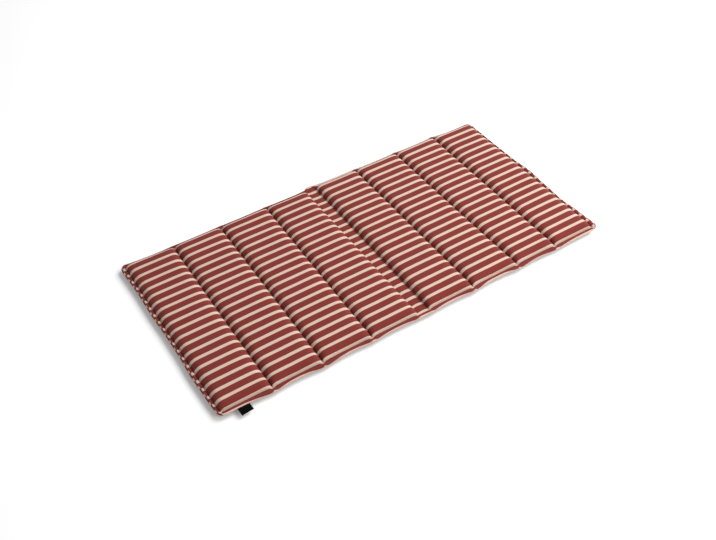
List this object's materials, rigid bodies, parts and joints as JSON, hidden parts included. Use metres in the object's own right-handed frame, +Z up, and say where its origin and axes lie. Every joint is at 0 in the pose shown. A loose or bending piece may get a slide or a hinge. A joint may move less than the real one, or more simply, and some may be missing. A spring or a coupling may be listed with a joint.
{
  "type": "folding seat cushion",
  "caption": "Long striped outdoor seat pad with stuffed channels, a stitched lip and a flat strip where it folds in half, lying open.",
  "frame": {"origin": "on the surface it lies on, under the middle of the whole outline, label included", "axes": "+X along the length, across the channels; +Y along the channels, away from the edge that holds the label; +Z up out of the face that is sat on"},
  "size_m": [1.0156, 0.521, 0.0264],
  "materials": {
    "striped_cloth": "matt outdoor weave, brick red with cream stripes",
    "label_ribbon": "plain black woven ribbon with a slight sheen"
  },
  "bodies": {
    "root": {"cushion": "striped_cloth", "label": "label_ribbon"}
  },
  "joints": []
}
